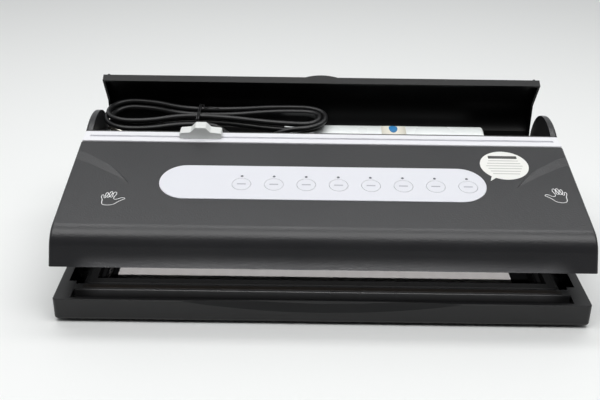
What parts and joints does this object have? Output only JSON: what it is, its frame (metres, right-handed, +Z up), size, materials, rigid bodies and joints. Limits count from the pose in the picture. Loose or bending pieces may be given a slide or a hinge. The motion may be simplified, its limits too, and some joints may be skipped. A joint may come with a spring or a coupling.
{
  "type": "vacuum sealer",
  "caption": "Countertop vacuum sealer with a low base tray, a hinged wedge lid standing ajar, a pill-shaped key panel, a cutter rail and an open compartment with a bag roll and tied cord.",
  "frame": {"origin": "middle of the outline on the surface it stands on", "axes": "+X to the right along the width, +Y to the rear, +Z up"},
  "size_m": [0.4, 0.2125, 0.1304],
  "materials": {
    "base_plastic": "fine grain",
    "lid_plastic": "fine grain",
    "black_plastic": "satin",
    "foot_rubber": "matte",
    "steel": "brushed",
    "spring_steel": "bright",
    "seal_rubber": "matte",
    "heater_cloth": "coated weave",
    "strip_paper": "matte",
    "panel_white": "gloss",
    "key_white": "satin",
    "light_pipe": "clear",
    "board_green": "solder mask",
    "switch_black": "satin",
    "motor_steel": "plated",
    "hose_silicone": "translucent",
    "rail_white": "satin",
    "slider_white": "satin",
    "film": "embossed film",
    "cord_black": "satin",
    "tie_wire": "coated wire",
    "plug_black": "satin",
    "plated_brass": "nickel plated"
  },
  "bodies": {
    "base": {"base_shell": "base_plastic", "bottom_plate": "base_plastic", "base_screws": "steel", "feet": "foot_rubber", "drip_tray": "black_plastic", "tray_strip": "strip_paper", "seal_bar": "black_plastic", "heating_strip": "heater_cloth", "lower_gasket": "seal_rubber", "lid_hinge_pins": "steel", "friction_washers": "black_plastic", "release_spring_right": "spring_steel", "release_spring_left": "spring_steel"},
    "lid": {"upper_housing": "lid_plastic", "underside_panel": "black_plastic", "housing_screws": "steel", "upper_gasket": "seal_rubber", "pressure_strip": "seal_rubber", "latch_hooks": "black_plastic", "lid_switch": "switch_black", "control_panel": "panel_white", "light_pipes": "light_pipe", "key_switches": "switch_black", "control_board": "board_green", "pump_motor": "motor_steel", "pump_head": "black_plastic", "release_valve": "black_plastic", "intake_nozzle": "black_plastic", "air_hose": "hose_silicone", "power_board": "board_green", "cutter_rail": "rail_white", "cord_gland": "cord_black", "cord_hank": "cord_black", "twist_tie": "tie_wire", "plug_body": "plug_black", "plug_prongs": "plated_brass"},
    "release_right": {"release_button_right": "black_plastic"},
    "release_left": {"release_button_left": "black_plastic"},
    "roll_cover": {"roll_cover": "lid_plastic", "cover_hinge_pins": "steel"},
    "cutter": {"cutter_slider": "slider_white", "cutter_blade": "steel"},
    "bag_roll": {"bag_roll": "film"},
    "key_1": {"key_1": "key_white"},
    "key_2": {"key_2": "key_white"},
    "key_3": {"key_3": "key_white"},
    "key_4": {"key_4": "key_white"},
    "key_5": {"key_5": "key_white"},
    "key_6": {"key_6": "key_white"},
    "key_7": {"key_7": "key_white"},
    "key_8": {"key_8": "key_white"}
  },
  "joints": [
    {"name": "lid_hinge", "type": "hinge", "parent": "base", "child": "lid", "pos_m": [0, 0.08775, 0.024], "axis": [-1, 0, 0], "range_deg": [-7.85, 37]},
    {"name": "cover_hinge", "type": "hinge", "parent": "lid", "child": "roll_cover", "pos_m": [0, 0.09081, 0.0579], "axis": [1, 0, 0], "range_deg": [0, 50.2], "deforming": ["cord_hank", "twist_tie"]},
    {"name": "cutter_slide", "type": "slide", "parent": "lid", "child": "cutter", "axis": [1, 0, 0], "range_m": [-0.073, 0.273]},
    {"name": "bag_roll_spin", "type": "hinge", "parent": "lid", "child": "bag_roll", "pos_m": [0.054, 0.05884, 0.07422], "axis": [1, 0, 0], "continuous": true},
    {"name": "release_right_press", "type": "slide", "parent": "base", "child": "release_right", "axis": [-1, 0, 0], "range_m": [0, 0.002], "stiffness_N_per_m": 600, "springref_m": -0.001, "deforming": ["release_spring_right"]},
    {"name": "release_left_press", "type": "slide", "parent": "base", "child": "release_left", "axis": [1, 0, 0], "range_m": [0, 0.002], "stiffness_N_per_m": 600, "springref_m": -0.001, "deforming": ["release_spring_left"]},
    {"name": "key_1_press", "type": "slide", "parent": "lid", "child": "key_1", "axis": [0, 0.2207, -0.9753], "range_m": [0, 0.0005], "stiffness_N_per_m": 600, "springref_m": -0.0005},
    {"name": "key_2_press", "type": "slide", "parent": "lid", "child": "key_2", "axis": [0, 0.2207, -0.9753], "range_m": [0, 0.0005], "stiffness_N_per_m": 600, "springref_m": -0.0005},
    {"name": "key_3_press", "type": "slide", "parent": "lid", "child": "key_3", "axis": [0, 0.2207, -0.9753], "range_m": [0, 0.0005], "stiffness_N_per_m": 600, "springref_m": -0.0005},
    {"name": "key_4_press", "type": "slide", "parent": "lid", "child": "key_4", "axis": [0, 0.2207, -0.9753], "range_m": [0, 0.0005], "stiffness_N_per_m": 600, "springref_m": -0.0005},
    {"name": "key_5_press", "type": "slide", "parent": "lid", "child": "key_5", "axis": [0, 0.2207, -0.9753], "range_m": [0, 0.0005], "stiffness_N_per_m": 600, "springref_m": -0.0005},
    {"name": "key_6_press", "type": "slide", "parent": "lid", "child": "key_6", "axis": [0, 0.2207, -0.9753], "range_m": [0, 0.0005], "stiffness_N_per_m": 600, "springref_m": -0.0005},
    {"name": "key_7_press", "type": "slide", "parent": "lid", "child": "key_7", "axis": [0, 0.2207, -0.9753], "range_m": [0, 0.0005], "stiffness_N_per_m": 600, "springref_m": -0.0005},
    {"name": "key_8_press", "type": "slide", "parent": "lid", "child": "key_8", "axis": [0, 0.2207, -0.9753], "range_m": [0, 0.0005], "stiffness_N_per_m": 600, "springref_m": -0.0005}
  ]
}
